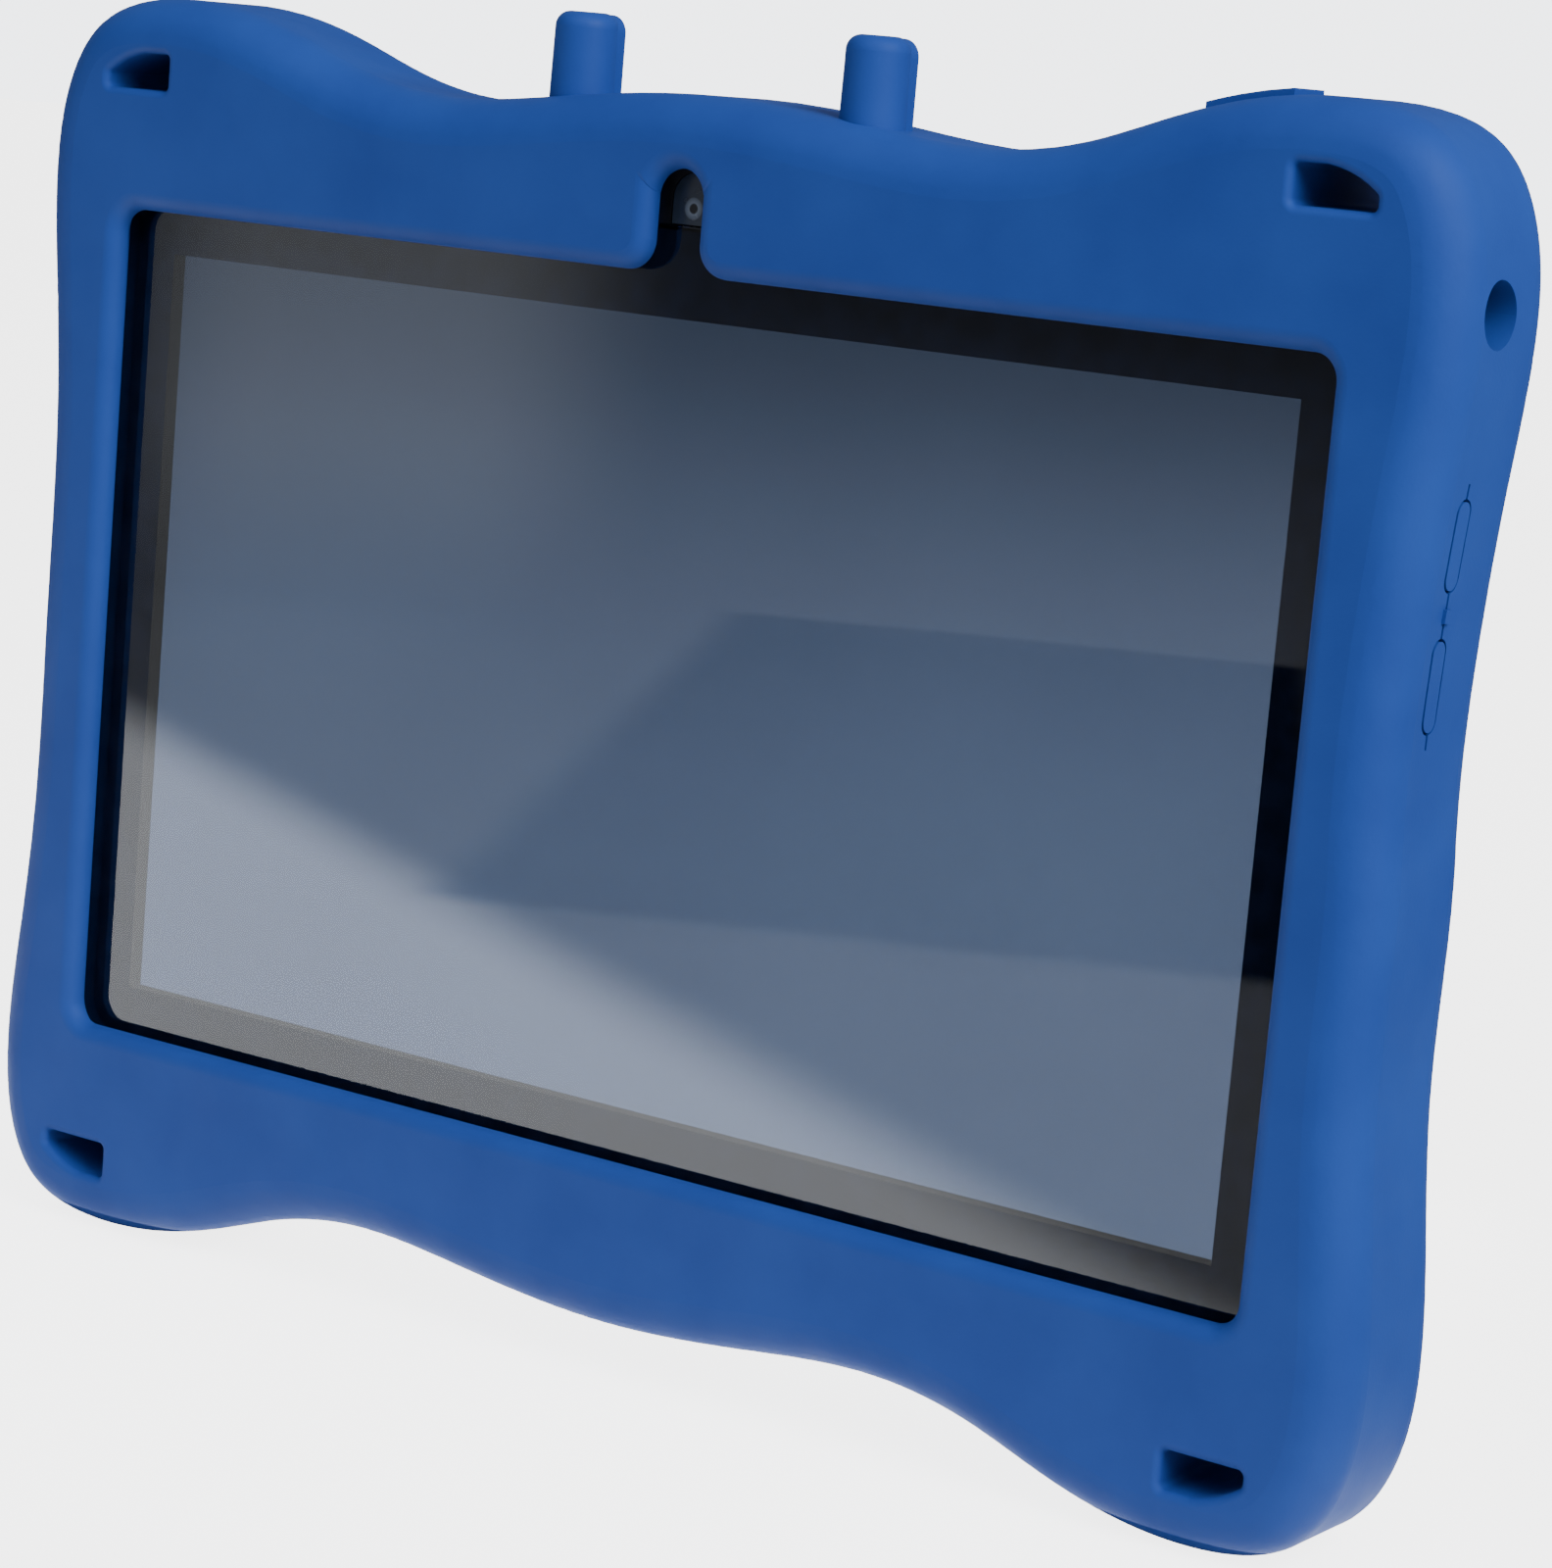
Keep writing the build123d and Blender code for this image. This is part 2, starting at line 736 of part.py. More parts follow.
with BuildPart() as touch_glass:
    with BuildSketch(at_depth(glass_t)):
        RectangleRounded(glass_w, glass_h, glass_corner)
    extrude(amount=glass_t)
finish(touch_glass, "touch_glass")

with BuildPart() as glass_adhesive:
    with BuildSketch(at_depth(ledge_depth)):
        RectangleRounded(glass_w - 2 * adhesive_inset, glass_h - 2 * adhesive_inset, glass_corner)
        Rectangle(frame_window_w, frame_window_h, mode=Mode.SUBTRACT)
        with Locations((touch_flex_x, lcd_h / 2)):
            Rectangle(touch_flex_w + 2 * flex_slot_gap, 2 * lcd_end, mode=Mode.SUBTRACT)
    extrude(amount=adhesive_t)
finish(glass_adhesive, "glass_adhesive")

with BuildPart() as lcd_panel:
    add(block((0, 0), (layer_w, layer_h), panel_front, sheets_front))
finish(lcd_panel, "lcd_panel")

with BuildPart() as diffuser_sheets:
    add(block((0, 0), (layer_w, layer_h), sheets_front, guide_front))
finish(diffuser_sheets, "diffuser_sheets")

guide_h = layer_h - led_bar_h - 2 * glass_gap
with BuildPart() as light_guide:
    add(block((0, (layer_h - guide_h) / 2), (layer_w, guide_h), guide_front, tray_front))
finish(light_guide, "light_guide")

led_bar_y = (led_bar_h - layer_h) / 2
led_bar_w = layer_w - 2 * led_bar_inset
with BuildPart() as led_bar:
    add(block((0, led_bar_y), (led_bar_w, led_bar_h), guide_front, tray_front))
finish(led_bar, "led_bar")

with BuildPart() as lcd_tray:
    with BuildSketch(at_depth(lcd_back)):
        Rectangle(lcd_w, lcd_h)
    extrude(amount=lcd_back - panel_front)
    with BuildSketch(at_depth(tray_front)):
        Rectangle(lcd_w - 2 * tray_wall, lcd_h - 2 * tray_wall)
    extrude(amount=tray_front - panel_front, mode=Mode.SUBTRACT)
    with BuildSketch(at_depth(sheets_front)):
        with Locations((lcd_flex_x, lcd_h / 2)):
            Rectangle(lcd_flex_w + 2 * flex_slot_gap, 2 * (tray_wall + glass_gap))
    extrude(amount=panel_t, mode=Mode.SUBTRACT)
finish(lcd_tray, "lcd_tray")

ribbon_end = connector_y + connector_l / 2
lcd_flex_front = sheets_front - lcd_flex_seat
with BuildPart() as lcd_flex:
    add(
        ribbon(
            lcd_flex_x,
            lcd_flex_w,
            [
                (lcd_flex_front, layer_h / 2),
                (lcd_flex_front, lcd_h / 2 + lcd_flex_out),
                (ribbon_mid, lcd_h / 2 + lcd_flex_out),
                (ribbon_mid, ribbon_end),
            ],
        )
    )
finish(lcd_flex, "lcd_flex")

touch_flex_front = ledge_depth - adhesive_t / 2
with BuildPart() as touch_flex:
    add(
        ribbon(
            touch_flex_x,
            touch_flex_w,
            [
                (touch_flex_front, lcd_h / 2 - touch_flex_lap),
                (touch_flex_front, lcd_h / 2 + touch_flex_out),
                (ribbon_mid, lcd_h / 2 + touch_flex_out),
                (ribbon_mid, ribbon_end),
            ],
        )
    )
finish(touch_flex, "touch_flex")

with BuildPart() as flex_connectors:
    for x, width in ((lcd_flex_x, lcd_connector_w), (touch_flex_x, touch_connector_w)):
        add(block((x, connector_y), (width, connector_l), board_front - connector_h, board_front))
finish(flex_connectors, "flex_connectors")

with BuildPart() as main_board:
    with BuildSketch(at_depth(board_back)) as board_face:
        with Locations((board_x, board_y)):
            Rectangle(board_w, board_h)
        with Locations((board_right - board_notch_w / 2, board_top - board_notch_h / 2)):
            Rectangle(board_notch_w, board_notch_h, mode=Mode.SUBTRACT)
        with Locations(*screw_places):
            Circle(screw_r, mode=Mode.SUBTRACT)
    extrude(amount=board_t)
finish(main_board, "main_board")

with BuildPart() as board_screws:
    with BuildSketch(at_depth(board_front)):
        with Locations(*screw_places):
            Circle(screw_head_r)
    extrude(amount=screw_head_t)
    with BuildSketch(at_depth(board_back + screw_bite - screw_tip_gap)):
        with Locations(*screw_places):
            Circle(screw_r - screw_fit)
    extrude(amount=board_t + screw_bite - screw_tip_gap)
    with BuildSketch(at_depth(board_front - screw_head_t)):
        with Locations(*screw_places):
            Rectangle(cross_w, cross_l)
            Rectangle(cross_l, cross_w)
    extrude(amount=-cross_depth, mode=Mode.SUBTRACT)
finish(board_screws, "board_screws")

# What stands on the board: each piece's blocks as (place, size)
chips = {
    "processor": [((board_x - 4.0, board_y - 6.0), (14.0, 14.0))],
    "memory_chips": [
        ((board_x + 14.0, board_y + 1.0), (9.0, 12.0)),
        ((board_x + 14.0, board_y - 13.0), (9.0, 12.0)),
    ],
    "flash_chip": [((board_x - 22.0, board_y - 14.0), (12.0, 18.0))],
    "power_chip": [((board_x + 27.0, board_y - 6.0), (6.0, 6.0))],
    "wifi_module": [((board_x - 22.0, board_y + 2.0), (12.0, 12.0))],
    "board_small_parts": [
        ((board_x + 27.0, board_y - 13.0), (4.0, 4.0)),
        ((board_x + 27.0, board_y - 19.0), (4.0, 4.0)),
        ((board_x - 4.0, board_y - 18.0), (5.0, 3.2)),
        ((board_x - 13.5, board_y - 18.0), (3.2, 2.5)),
        ((board_x + 4.0, board_y + 6.0), (3.2, 1.6)),
        ((board_x - 12.5, board_y + 8.0), (2.0, 1.25)),
    ],
}
for name, places in chips.items():
    with BuildPart() as chip:
        for centre, size in places:
            add(block(centre, size, board_front - chip_t, board_front))
    finish(chip, name)


def tact_switch(heights):
    """Side-pressed switch on the board's edge: a cased body with a round button."""
    with BuildPart() as switch:
        with BuildSketch(right_side(switch_x - switch_body)):
            with Locations(*[(key_depth, y) for y in heights]):
                Rectangle(switch_h, switch_l)
        extrude(amount=switch_body)
        with BuildSketch(right_side(switch_x)):
            with Locations(*[(key_depth, y) for y in heights]):
                Circle(switch_button_r)
        extrude(amount=switch_button_t)
    return switch


finish(tact_switch([power_y]), "power_switch")
finish(tact_switch([volume_y + reach for reach in volume_plungers]), "volume_switches")

with BuildPart() as headphone_jack:
    with BuildSketch(right_side(jack_end_x - jack_l)):
        with Locations((jack_depth, jack_y)):
            Rectangle(2 * jack_half, jack_w)
    extrude(amount=jack_l)
    with BuildSketch(right_side(jack_end_x)):
        with Locations((jack_depth, jack_y)):
            Circle(jack_nose_r)
    extrude(amount=jack_nose_t)
    with BuildSketch(right_side(jack_end_x + jack_nose_t - jack_length)):
        with Locations((jack_depth, jack_y)):
            Circle(jack_r)
    extrude(amount=jack_length, mode=Mode.SUBTRACT)
finish(headphone_jack, "headphone_jack")

usb_mouth = tablet_y - usb_set_back
with BuildPart() as micro_usb_port:
    with BuildSketch(level(usb_mouth - usb_l)):
        with Locations((usb_x, usb_depth)):
            RectangleRounded(usb_w, usb_h, usb_corner)
    extrude(amount=usb_l)
    with BuildSketch(level(usb_mouth - usb_l + usb_back)):
        with Locations((usb_x, usb_depth)):
            RectangleRounded(usb_w - 2 * usb_sheet, usb_h - 2 * usb_sheet, usb_corner - usb_sheet)
    extrude(amount=usb_l - usb_back, mode=Mode.SUBTRACT)
    with BuildSketch(level(usb_mouth - usb_l + usb_back)):
        with Locations((usb_x, usb_depth - usb_tongue_shift)):
            Rectangle(usb_tongue_w, usb_tongue_t)
    extrude(amount=usb_l - usb_back - usb_tongue_gap)
finish(micro_usb_port, "micro_usb_port")

card_end_y = inner_y - card_set_back - card_l
with BuildPart() as card_slot:
    with BuildSketch(level(card_end_y)):
        with Locations((card_x, board_front - card_h / 2)):
            Rectangle(card_w, card_h)
    extrude(amount=card_l)
    with BuildSketch(level(card_end_y + card_back)):
        with Locations((card_x, board_front - card_h / 2)):
            Rectangle(card_w - 2 * card_wall, card_h - 2 * card_sheet)
    extrude(amount=card_l - card_back, mode=Mode.SUBTRACT)
finish(card_slot, "card_slot")

with BuildPart() as microphone:
    with BuildSketch(at_depth(board_front)):
        with Locations((board_right - microphone_inset, power_y - microphone_drop)):
            Circle(microphone_r)
    extrude(amount=microphone_t)
finish(microphone, "microphone")

with BuildPart() as battery_cell:
    add(block((battery_x, battery_y), (battery_w, battery_h), battery_front, floor_depth - tape_t))
    fillet(battery_cell.edges().filter_by(Axis.Y), radius=battery_corner)
    fillet(battery_cell.faces().sort_by(Axis.Y)[0].edges(), radius=battery_round)
finish(battery_cell, "battery_cell")

tape_size = (battery_w - 2 * tape_margin, battery_h - 2 * tape_margin)
with BuildPart() as battery_tape:
    add(block((battery_x, battery_y), tape_size, floor_depth - tape_t, floor_depth))
finish(battery_tape, "battery_tape")

battery_right = battery_x + battery_w / 2
battery_board_y = battery_y + (battery_h - battery_board_h) / 2 - battery_board_drop
battery_board_back = floor_depth - battery_board_stand
with BuildPart() as battery_board:
    add(
        block(
            (battery_right + battery_board_w / 2, battery_board_y),
            (battery_board_w, battery_board_h),
            battery_board_back - battery_board_t,
            battery_board_back,
        )
    )
finish(battery_board, "battery_board")

battery_board_right = battery_right + battery_board_w
lead_gap_x = (battery_board_right + board_left) / 2
with BuildPart() as battery_leads:
    for side in (1, -1):
        start_y = battery_board_y - (3 - side) / 2 * battery_lead_pitch
        end_y = start_y - battery_lead_drop
        turn_x = lead_gap_x + side * (lead_r + battery_lead_gap / 2)
        reach = min(turn_x - battery_board_right, board_left - turn_x)
        add(
            lead(
                [
                    (battery_board_right, start_y),
                    (turn_x, start_y),
                    (turn_x, end_y),
                    (board_left, end_y),
                ],
                0.8 * min(reach, battery_lead_drop / 2),
            )
        )
finish(battery_leads, "battery_leads")

speaker_front = floor_depth - speaker_t
with BuildPart() as speaker_frame:
    add(block((speaker_x, speaker_y), (speaker_w, speaker_h), speaker_front, floor_depth))
    with BuildSketch(at_depth(floor_depth)):
        with Locations((speaker_x, speaker_y)):
            Rectangle(speaker_w - 2 * speaker_rim, speaker_h - 2 * speaker_rim)
    extrude(amount=speaker_t - speaker_face_t, mode=Mode.SUBTRACT)
finish(speaker_frame, "speaker_frame")

cone_back = speaker_front + speaker_face_t + cone_t
cone_w = speaker_w - 2 * (speaker_rim + speaker_fit)
cone_h = speaker_h - 2 * (speaker_rim + speaker_fit)
with BuildPart() as speaker_cone:
    with BuildSketch(at_depth(cone_back)):
        with Locations((speaker_x, speaker_y)):
            RectangleRounded(cone_w, cone_h, cone_corner)
    extrude(amount=cone_t)
    with BuildSketch(at_depth(cone_back)):
        with Locations((speaker_x, speaker_y)):
            Circle(cone_dome_r)
    extrude(amount=-cone_dome_h, taper=30)
finish(speaker_cone, "speaker_cone")

with BuildPart() as speaker_mesh:
    add(block((speaker_x, speaker_y), (cone_w, cone_h), floor_depth - speaker_mesh_t, floor_depth))
finish(speaker_mesh, "speaker_mesh")

speaker_top = speaker_y + speaker_h / 2
with BuildPart() as speaker_leads:
    for row in (0, 1):
        lead_x = speaker_x - speaker_lead_inset + row * speaker_lead_pitch
        add(
            lead(
                [
                    (lead_x, speaker_top),
                    (lead_x, speaker_top + speaker_lead_rise),
                    (lead_x - speaker_lead_shift, board_bottom - speaker_lead_end),
                    (lead_x - speaker_lead_shift, board_bottom),
                ],
                lead_bend,
            )
        )
finish(speaker_leads, "speaker_leads")

aerial_x = board_left + aerial_w / 2 + aerial_inset
aerial_y = -inner_y + aerial_h / 2 + aerial_edge_gap
with BuildPart() as wifi_aerial:
    add(block((aerial_x, aerial_y), (aerial_w, aerial_h), floor_depth - aerial_t, floor_depth))
finish(wifi_aerial, "wifi_aerial")

aerial_top = aerial_y + aerial_h / 2
with BuildPart() as aerial_lead:
    add(
        lead(
            [
                (board_left + aerial_lead_inset, board_bottom),
                (board_left + aerial_lead_inset, board_bottom - aerial_lead_run),
                (aerial_x, aerial_top + aerial_lead_run),
                (aerial_x, aerial_top),
            ],
            lead_bend,
        )
    )
finish(aerial_lead, "aerial_lead")

barrel_front = camera_window_t + camera_front_gap
with BuildPart() as front_camera:
    add(block((0, camera_y), (camera_w, camera_w), frame_t, frame_t + camera_t))
    with BuildSketch(at_depth(frame_t)):
        with Locations((0, camera_y)):
            Circle(barrel_r)
    extrude(amount=frame_t - barrel_front)
    with BuildSketch(at_depth(barrel_front)):
        with Locations((0, camera_y)):
            Circle(lens_r)
    extrude(amount=-lens_seat, mode=Mode.SUBTRACT)
finish(front_camera, "front_camera")

with BuildPart() as front_camera_lens:
    with BuildSketch(at_depth(barrel_front + lens_seat)):
        with Locations((0, camera_y)):
            Circle(lens_r)
    extrude(amount=lens_t)
    fillet(front_camera_lens.faces().sort_by(Axis.Y)[0].edges(), radius=lens_round)
finish(front_camera_lens, "front_camera_lens")

with BuildPart() as front_camera_window:
    with BuildSketch(at_depth(camera_window_t + glass_gap)):
        add(camera_arch.sketch)
    extrude(amount=camera_window_t)
finish(front_camera_window, "front_camera_window")

rear_camera_back = floor_depth - rear_camera_gap
with BuildPart() as rear_camera:
    add(
        block(
            (rear_camera_x, rear_camera_y),
            (rear_camera_w, rear_camera_w),
            rear_camera_back - rear_camera_t,
            rear_camera_back,
        )
    )
finish(rear_camera, "rear_camera")

with BuildPart() as rear_camera_lens:
    with BuildSketch(at_depth(rear_camera_back)):
        with Locations((rear_camera_x, rear_camera_y)):
            Circle(rear_barrel_r)
    extrude(amount=-rear_lens_t)
    with BuildSketch(at_depth(rear_camera_back + rear_lens_t)):
        with Locations((rear_camera_x, rear_camera_y)):
            Circle(rear_lens_r)
    extrude(amount=rear_lens_dip, mode=Mode.SUBTRACT)
finish(rear_camera_lens, "rear_camera_lens")

with BuildPart() as rear_camera_window:
    with BuildSketch(at_depth(tablet_t - rear_window_seat)):
        with Locations((rear_camera_x, rear_camera_y)):
            Circle(rear_window_r)
    extrude(amount=-rear_window_t)
finish(rear_camera_window, "rear_camera_window")
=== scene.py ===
import math

import bmesh
import bpy
from mathutils import Matrix, Vector


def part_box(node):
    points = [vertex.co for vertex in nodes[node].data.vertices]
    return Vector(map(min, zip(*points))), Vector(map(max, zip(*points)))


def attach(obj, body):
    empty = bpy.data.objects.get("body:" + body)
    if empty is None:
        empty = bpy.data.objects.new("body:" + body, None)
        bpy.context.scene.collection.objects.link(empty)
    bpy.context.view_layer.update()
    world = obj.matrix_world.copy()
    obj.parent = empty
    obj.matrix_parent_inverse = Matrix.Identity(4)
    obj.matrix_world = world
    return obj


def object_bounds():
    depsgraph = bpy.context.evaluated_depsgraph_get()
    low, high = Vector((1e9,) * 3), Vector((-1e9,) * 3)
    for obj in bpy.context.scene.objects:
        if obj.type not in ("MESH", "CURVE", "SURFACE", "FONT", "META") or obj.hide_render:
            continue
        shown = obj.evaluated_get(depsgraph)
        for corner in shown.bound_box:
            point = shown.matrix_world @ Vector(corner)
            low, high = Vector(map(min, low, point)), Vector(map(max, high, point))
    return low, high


# A children's tablet in a blue silicone bumper: finishes for every piece, the ink border
# inside its glass, a pale room with soft light, and the camera. Lengths are in metres.

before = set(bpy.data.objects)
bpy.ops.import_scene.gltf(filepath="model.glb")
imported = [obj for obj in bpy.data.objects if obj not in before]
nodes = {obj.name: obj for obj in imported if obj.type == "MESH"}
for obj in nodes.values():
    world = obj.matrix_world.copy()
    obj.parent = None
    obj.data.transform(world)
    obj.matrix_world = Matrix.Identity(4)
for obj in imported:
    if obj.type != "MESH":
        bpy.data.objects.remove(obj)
cad_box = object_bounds()

MM = 0.001

# Ink border round the display, and the grey ring printed over each camera
DISPLAY_W = 153.6 * MM
DISPLAY_H = 90.0 * MM
INK_T = 0.03 * MM
INK_GAP = 0.02 * MM
INK_MARGIN = 0.5 * MM
LENS_RING = 1.2 * MM
LENS_PUPIL = 0.55 * MM
SILICONE_GRAIN = 0.35 * MM

# Camera: its place from the middle of the glass face, and how it is turned
CAMERA_FROM_GLASS = Vector((285.33, -388.65, 73.99)) * MM
CAMERA_TURN = math.radians(34.57)
CAMERA_FALL = math.radians(9.38)
CAMERA_ROLL = math.radians(4.90)
CAMERA_LENS = 100.27
CAMERA_SENSOR = 36.0

# Brightness of the room: what lights the object, and what the eye sees behind it
WORLD_LIGHT = 0.31
WORLD_SEEN = 4.5
FLOOR_LIFT = 3.9
FLOOR_RADIUS = 6.0
CARD_LIFT = 2 * MM

glass_low, glass_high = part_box("touch_glass")
glass_face = Vector((
    (glass_low.x + glass_high.x) / 2,
    glass_low.y,
    (glass_low.z + glass_high.z) / 2,
))
floor_z = cad_box[0].z
lens_low, lens_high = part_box("front_camera_lens")
camera_height = (lens_low.z + lens_high.z) / 2


def linear(code):
    """sRGB hex colour as linear red, green, blue and alpha."""
    channels = [int(code[i : i + 2], 16) / 255 for i in (1, 3, 5)]
    return [c / 12.92 if c <= 0.04045 else ((c + 0.055) / 1.055) ** 2.4 for c in channels] + [1.0]


def add(tree, kind, settings=None, inputs=None):
    """Adds one node, sets its properties, and fills or links its inputs."""
    node = tree.nodes.new(kind)
    for name, value in (settings or {}).items():
        setattr(node, name, value)
    for name, value in (inputs or {}).items():
        if isinstance(value, bpy.types.NodeSocket):
            tree.links.new(value, node.inputs[name])
        else:
            node.inputs[name].default_value = value
    return node


class Finish:
    """A material with one Principled shader, and the patterns that real finishes need."""

    def __init__(self, name, colour, **values):
        self.material = bpy.data.materials.new(name)
        self.material.use_nodes = True
        self.tree = self.material.node_tree
        self.tree.nodes.clear()
        self.shader = add(self.tree, "ShaderNodeBsdfPrincipled", inputs=values)
        self.shader.inputs["Base Color"].default_value = linear(colour)
        output = add(self.tree, "ShaderNodeOutputMaterial")
        self.tree.links.new(self.shader.outputs["BSDF"], output.inputs["Surface"])
        self.place = add(self.tree, "ShaderNodeTexCoord").outputs["Object"]
        self.normal = None

    def noise(self, pitch, detail=2.0, stretch=None):
        """Cloudy pattern whose blotches are about one pitch across."""
        place = self.place
        if stretch:
            inputs = {"Vector": place, "Scale": stretch}
            place = add(self.tree, "ShaderNodeMapping", inputs=inputs).outputs[0]
        return add(
            self.tree,
            "ShaderNodeTexNoise",
            inputs={"Vector": place, "Scale": 1 / pitch, "Detail": detail},
        ).outputs["Fac"]

    def cells(self, pitch):
        """Round cells about one pitch apart, dark in the middle."""
        inputs = {"Vector": self.place, "Scale": 1 / pitch}
        return add(self.tree, "ShaderNodeTexVoronoi", inputs=inputs).outputs["Distance"]

    def bands(self, pitch, axis):
        """Even stripes across one axis, one pitch apart."""
        settings = {"wave_type": "BANDS", "bands_direction": axis}
        inputs = {"Vector": self.place, "Scale": math.pi / (10 * pitch)}
        return add(self.tree, "ShaderNodeTexWave", settings, inputs).outputs["Fac"]

    def colours(self, pattern, *stops):
        """Base colour from a pattern: (position, hex) stops."""
        ramp = add(self.tree, "ShaderNodeValToRGB", inputs={"Fac": pattern})
        elements = ramp.color_ramp.elements
        elements[0].position, elements[0].color = stops[0][0], linear(stops[0][1])
        elements[1].position, elements[1].color = stops[-1][0], linear(stops[-1][1])
        for position, code in stops[1:-1]:
            elements.new(position).color = linear(code)
        self.tree.links.new(ramp.outputs["Color"], self.shader.inputs["Base Color"])

    def roughness(self, pattern, low, high):
        """Roughness that drifts between two values."""
        inputs = {"Value": pattern, "From Min": 0.3, "From Max": 0.7, "To Min": low, "To Max": high}
        spread = add(self.tree, "ShaderNodeMapRange", inputs=inputs)
        self.tree.links.new(spread.outputs["Result"], self.shader.inputs["Roughness"])

    def bump(self, pattern, height):
        """Relief of a given height, added to any that is there already."""
        inputs = {"Height": pattern, "Distance": height, "Strength": 1.0}
        node = add(self.tree, "ShaderNodeBump", inputs=inputs)
        if self.normal:
            self.tree.links.new(self.normal, node.inputs["Normal"])
        self.normal = node.outputs["Normal"]
        self.tree.links.new(self.normal, self.shader.inputs["Normal"])


# Silicone rubber from a spark-finished mould: a soft, even blue with a faint dusty sheen
def silicone():
    look = Finish(
        "moulded_silicone",
        "#19408E",
        **{"IOR": 1.41, "Specular IOR Level": 0.18, "Sheen Weight": 0.03, "Sheen Roughness": 0.4},
    )
    look.shader.inputs["Sheen Tint"].default_value = linear("#9FB8EC")
    look.colours(look.noise(14 * MM, 4.0), (0.3, "#1D3E8A"), (0.7, "#214593"))
    look.roughness(look.noise(9 * MM, 3.0), 0.54, 0.68)
    look.bump(look.noise(SILICONE_GRAIN, 2.0), 0.012 * MM)
    look.bump(look.noise(7 * MM, 1.0), 0.06 * MM)
    return look.material


# Chemically toughened cover glass, polished: clear and mirror-smooth, with the faintest waviness
def cover_glass():
    look = Finish("polished_cover_glass", "#F4F7FA", **{"IOR": 1.52, "Transmission Weight": 1.0})
    look.shader.inputs["Roughness"].default_value = 0.0
    look.bump(look.noise(45 * MM, 1.0), 0.03 * MM)
    return look.material


# Screen-printed ink on the back of the glass: blue-black, dead flat
def printed_ink():
    look = Finish("printed_glass_ink", "#141C30", **{"Roughness": 0.8, "Specular IOR Level": 0.0})
    look.colours(look.noise(3 * MM), (0.35, "#11182A"), (0.65, "#182036"))
    return look.material


# Polarising film over the liquid crystal: a blue-grey, nearly sharp mirror while the display is off
def polariser():
    look = Finish("polarised_display_film", "#7485A6", **{"Metallic": 1.0, "Roughness": 0.04})
    look.colours(look.noise(60 * MM, 1.0), (0.35, "#7081A2"), (0.65, "#788AAB"))
    look.roughness(look.noise(30 * MM, 2.0), 0.03, 0.06)
    return look.material


# Moulded black ABS: a dark satin skin whose gloss drifts a little over a fine mould grain
def black_plastic(name, colour, low, high):
    look = Finish(name, colour, **{"IOR": 1.54})
    look.colours(look.noise(2 * MM), (0.3, colour), (0.7, "#17191D"))
    look.roughness(look.noise(5 * MM, 3.0), low, high)
    look.bump(look.noise(0.25 * MM), 0.006 * MM)
    return look.material


# Sheet metal or plating: a soft grey shine, streaked crosswise where it was rolled
def metal(name, colour, low, high, brushed=False):
    look = Finish(name, colour, **{"Metallic": 1.0})
    stretch = (1.0, 1.0, 30.0) if brushed else None
    look.roughness(look.noise(0.6 * MM, 3.0, stretch), low, high)
    look.bump(look.noise(0.3 * MM, 2.0, stretch), 0.003 * MM)
    return look.material


# Smoked acrylic window, opaque, with a grey ring printed round the spot over the lens; the spot is
# painted near black, the dark lens with painted shade behind it
def smoked_window(name, node):
    low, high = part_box(node)
    look = Finish(name, "#2A3342", **{"IOR": 1.49})
    centre = (low + high) / 2
    height = camera_height if node == "front_camera_window" else centre.z
    move = add(look.tree, "ShaderNodeMapping", inputs={"Vector": look.place})
    move.inputs["Location"].default_value = (-centre.x, 0.0, -height)
    move.inputs["Scale"].default_value = (1.0, 0.0, 1.0)
    length = {"operation": "LENGTH"}
    away = add(look.tree, "ShaderNodeVectorMath", length, {0: move.outputs[0]}).outputs["Value"]
    divide = {"operation": "DIVIDE"}
    share = add(look.tree, "ShaderNodeMath", divide, {0: away, 1: 2 * LENS_RING}).outputs[0]
    pupil = LENS_PUPIL / (2 * LENS_RING)
    # Near-black centre: the dark lens with painted shade behind it, painted on the opaque window; grey
    # ring: print
    look.colours(
        share,
        (0.0, "#05060A"),
        (pupil - 0.02, "#0A0D14"),
        (pupil + 0.03, "#66717F"),
        (0.46, "#4C5664"),
        (0.53, "#232B38"),
        (1.0, "#262F3D"),
    )
    look.roughness(look.noise(1.5 * MM), 0.16, 0.3)
    look.bump(look.noise(0.2 * MM), 0.002 * MM)
    return look.material


# Coated lens: almost black with a cool purple gloss
def coated_lens():
    gloss = {"Roughness": 0.03, "Coat Weight": 1.0, "Coat Roughness": 0.02}
    look = Finish("coated_lens", "#0A0C18", **gloss)
    look.colours(look.noise(1.5 * MM, 1.0), (0.3, "#090B15"), (0.7, "#10122A"))
    return look.material


# Solder mask over copper, printed and baked: deep green with the tracks just showing through
def solder_mask(name, base, track):
    look = Finish(name, base, **{"Roughness": 0.3, "IOR": 1.52})
    tracks = look.cells(1.6 * MM)
    look.colours(tracks, (0.0, track), (0.12, base), (1.0, base))
    look.roughness(look.noise(4 * MM), 0.24, 0.36)
    look.bump(tracks, 0.02 * MM)
    return look.material


# Transfer-moulded epoxy over a chip: charcoal with a fine spark-eroded grit
def chip_epoxy():
    look = Finish("moulded_chip_epoxy", "#1B1C1F", **{"IOR": 1.55})
    look.colours(look.noise(0.4 * MM), (0.35, "#17181B"), (0.65, "#222327"))
    look.roughness(look.noise(1.2 * MM), 0.5, 0.65)
    look.bump(look.noise(0.15 * MM), 0.01 * MM)
    return look.material


